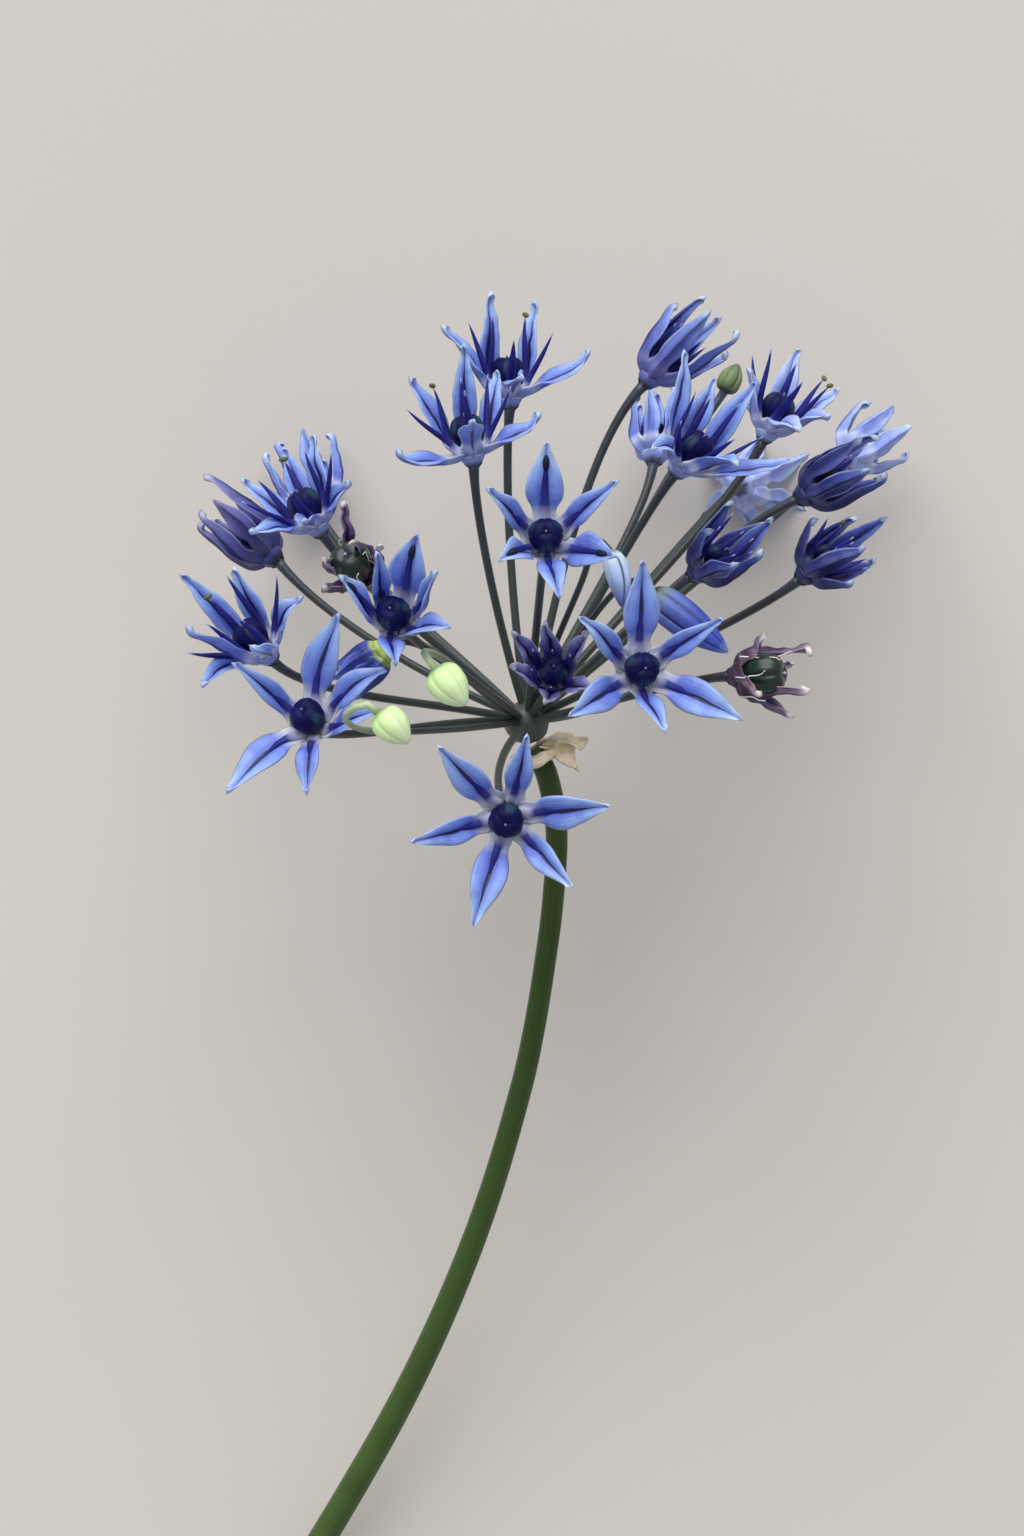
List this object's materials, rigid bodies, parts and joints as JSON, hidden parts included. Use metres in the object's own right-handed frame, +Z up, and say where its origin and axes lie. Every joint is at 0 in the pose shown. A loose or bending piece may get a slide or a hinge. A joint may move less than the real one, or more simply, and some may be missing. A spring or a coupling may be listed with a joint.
{
  "type": "blue globe onion flower",
  "caption": "A cut blue globe onion flower lying down: a bent green scape and an umbel of starry blue florets, nodding buds and young seed capsules on slender stalks.",
  "frame": {"origin": "centre of the whole flower's bounding box, on the surface it lies on", "axes": "+Y from the scape's cut end to the umbel, the flower's longest extent; +Z up from the surface, its shortest extent; +X to the right of the umbel seen from above with the umbel away from the viewer"},
  "size_m": [0.0506, 0.0976, 0.0373],
  "materials": {
    "tepal_blue": "satin",
    "tepal_violet": "satin",
    "pistil_navy": "satin",
    "bud_pale_blue": "satin",
    "bud_green": "satin",
    "fruit_green": "matte",
    "stalk_green": "satin",
    "scape_green": "satin",
    "papery_tan": "matte"
  },
  "bodies": {
    "root": {"scape": "scape_green", "spathe": "papery_tan", "stalks": "stalk_green", "front_low_tepals": "tepal_blue", "front_low_pistil": "pistil_navy", "front_right_tepals": "tepal_blue", "front_right_pistil": "pistil_navy", "front_middle_tepals": "tepal_blue", "front_middle_pistil": "pistil_navy", "front_left_tepals": "tepal_blue", "front_left_pistil": "pistil_navy", "left_low_tepals": "tepal_blue", "left_low_pistil": "pistil_navy", "left_middle_tepals": "tepal_blue", "left_middle_pistil": "pistil_navy", "left_up_tepals": "tepal_blue", "left_up_pistil": "pistil_navy", "left_back_tepals": "tepal_blue", "left_back_pistil": "pistil_navy", "left_far_tepals": "tepal_blue", "left_far_pistil": "pistil_navy", "top_left_tepals": "tepal_blue", "top_left_pistil": "pistil_navy", "top_middle_tepals": "tepal_blue", "top_middle_pistil": "pistil_navy", "top_right_tepals": "tepal_blue", "top_right_pistil": "pistil_navy", "right_up_tepals": "tepal_blue", "right_up_pistil": "pistil_navy", "right_behind_tepals": "tepal_blue", "right_behind_pistil": "pistil_navy", "right_middle_tepals": "tepal_blue", "right_middle_pistil": "pistil_navy", "right_far_tepals": "tepal_blue", "right_far_pistil": "pistil_navy", "right_inner_tepals": "tepal_blue", "right_inner_pistil": "pistil_navy", "right_low_tepals": "tepal_blue", "right_low_pistil": "pistil_navy", "centre_faded_tepals": "tepal_violet", "centre_faded_pistil": "pistil_navy", "left_nodding_tepals": "tepal_blue", "left_nodding_pistil": "pistil_navy", "back_top_tepals": "tepal_blue", "back_top_pistil": "pistil_navy", "right_back_tepals": "tepal_blue", "right_back_pistil": "pistil_navy", "left_fruit_tepals": "tepal_violet", "left_fruit_pistil": "fruit_green", "right_fruit_tepals": "tepal_violet", "right_fruit_pistil": "fruit_green", "nodding_blue_bud": "tepal_blue", "nodding_pale_bud": "bud_pale_blue", "green_middle_bud": "bud_green", "green_left_bud": "bud_green", "green_back_bud": "bud_green"}
  },
  "joints": []
}
